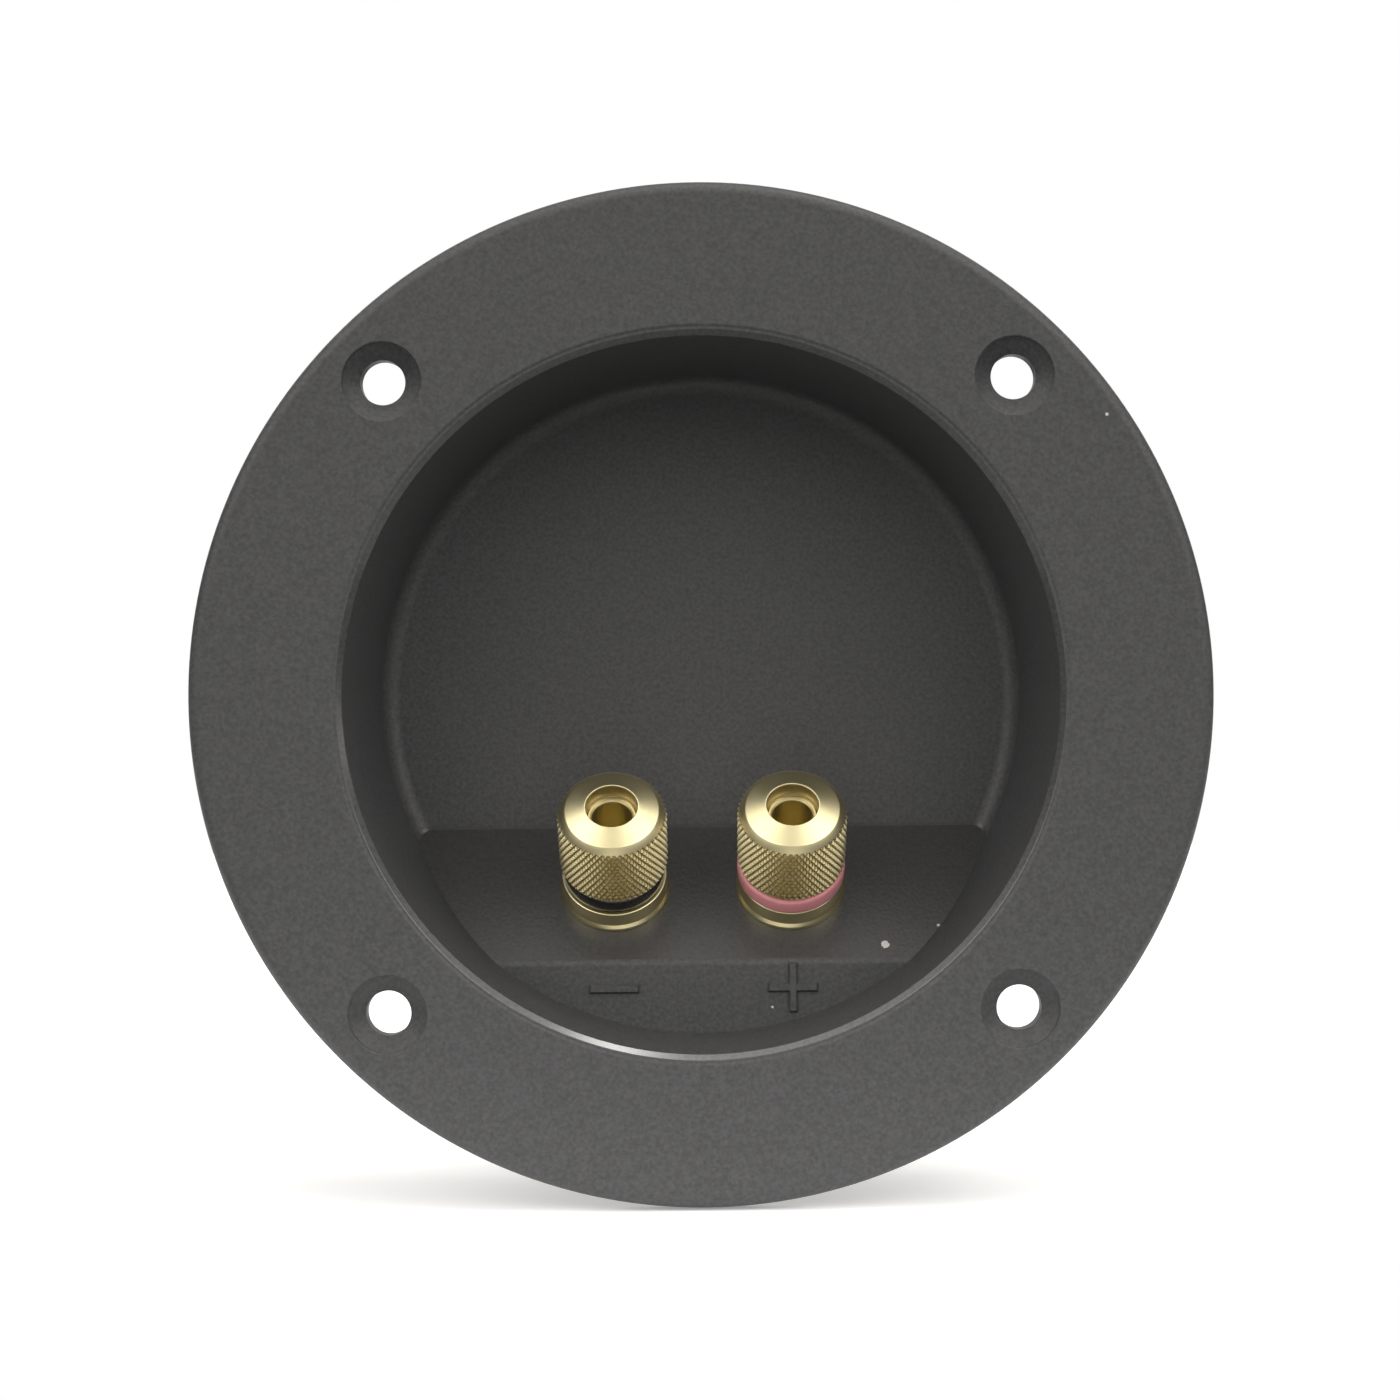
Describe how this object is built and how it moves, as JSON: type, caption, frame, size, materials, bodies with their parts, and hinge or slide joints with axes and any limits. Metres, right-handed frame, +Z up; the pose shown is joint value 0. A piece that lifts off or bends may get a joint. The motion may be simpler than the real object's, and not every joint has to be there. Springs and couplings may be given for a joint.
{
  "type": "speaker terminal",
  "caption": "Round recessed speaker terminal cup: a flanged plastic cup with a slanted shelf that carries knurled gold binding posts for banana plugs or bare wire.",
  "frame": {"origin": "centre of the flange's rear face, on the cup's axis", "axes": "the front faces -Y, +Z is up, and +X is to the right as seen from the front"},
  "size_m": [0.1, 0.0316, 0.1],
  "materials": {
    "cup_plastic": "fine texture",
    "gold_plate": "polished",
    "black_ring": "gloss",
    "red_ring": "gloss",
    "zinc_plate": "satin",
    "tinned_brass": "satin"
  },
  "bodies": {
    "terminal_cup": {"cup": "cup_plastic", "negative_post": "gold_plate", "negative_washer": "zinc_plate", "negative_solder_tag": "tinned_brass", "negative_lock_washer": "zinc_plate", "negative_nut": "gold_plate", "positive_post": "gold_plate", "positive_washer": "zinc_plate", "positive_solder_tag": "tinned_brass", "positive_lock_washer": "zinc_plate", "positive_nut": "gold_plate"},
    "negative_ring": {"negative_ring": "black_ring"},
    "negative_knob": {"negative_knob": "gold_plate"},
    "positive_ring": {"positive_ring": "red_ring"},
    "positive_knob": {"positive_knob": "gold_plate"}
  },
  "joints": [
    {"name": "negative_lift", "type": "slide", "parent": "terminal_cup", "child": "negative_ring", "axis": [0, -0.766, 0.6428], "range_m": [0, 0.004]},
    {"name": "negative_turn", "type": "hinge", "parent": "negative_ring", "child": "negative_knob", "pos_m": [-0.009, 0.01113, -0.01803], "axis": [0, -0.766, 0.6428], "range_deg": [0, 1440]},
    {"name": "positive_lift", "type": "slide", "parent": "terminal_cup", "child": "positive_ring", "axis": [0, -0.766, 0.6428], "range_m": [0, 0.004]},
    {"name": "positive_turn", "type": "hinge", "parent": "positive_ring", "child": "positive_knob", "pos_m": [0.009, 0.01113, -0.01803], "axis": [0, -0.766, 0.6428], "range_deg": [0, 1440]}
  ],
  "couplings": [
    {"joint": "negative_lift", "follows": "negative_turn", "m_per_rad": 0.00015915},
    {"joint": "positive_lift", "follows": "positive_turn", "m_per_rad": 0.00015915}
  ]
}
